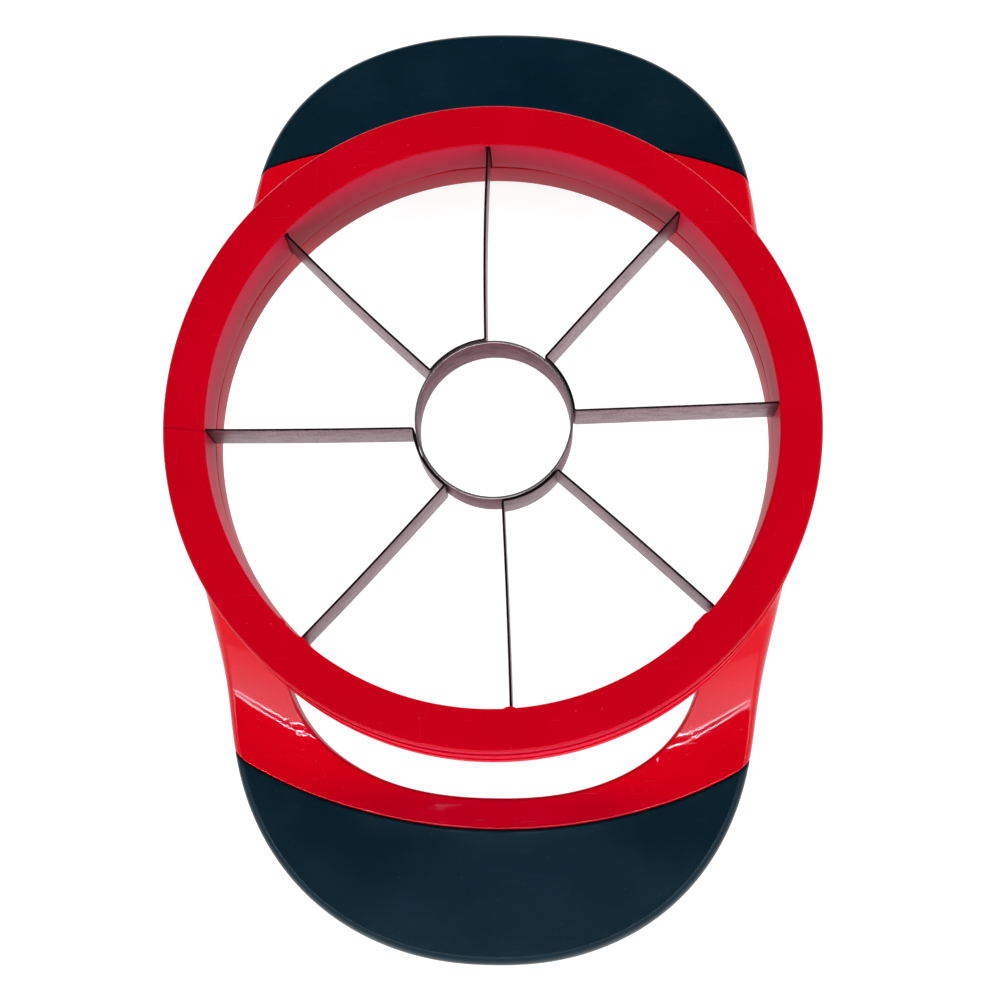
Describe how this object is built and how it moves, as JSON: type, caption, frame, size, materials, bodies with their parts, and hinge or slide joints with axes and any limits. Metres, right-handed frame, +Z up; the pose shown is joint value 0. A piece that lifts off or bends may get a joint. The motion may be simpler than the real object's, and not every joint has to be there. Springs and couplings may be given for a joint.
{
  "type": "apple slicer",
  "caption": "Press-down apple slicer and corer: a flat ring holds straight blades round a central corer ring, with looped handles at opposite sides and soft dark grips.",
  "frame": {"origin": "on the floor under the middle of the ring, where the slicer stands on its two grips as in the picture; in use it is turned over, so that the flat ring face lies on the board", "axes": "+Z up, out of the flat ring face; +Y from the ring's middle towards the rear handle; +X to the right, seen from the front handle"},
  "size_m": [0.1116, 0.1838, 0.062],
  "materials": {
    "red_plastic": "glossy moulded plastic",
    "soft_grip": "satin soft-touch overmould",
    "blade_steel": "cold-rolled stainless strip"
  },
  "bodies": {
    "root": {"frame": "red_plastic", "retaining_ring": "red_plastic", "rear_grip": "soft_grip", "front_grip": "soft_grip", "blade_strip_rear_right": "blade_steel", "blade_strip_rear_left": "blade_steel", "blade_strip_front_left": "blade_steel", "blade_strip_front_right": "blade_steel", "corer_ring": "blade_steel"}
  },
  "joints": []
}
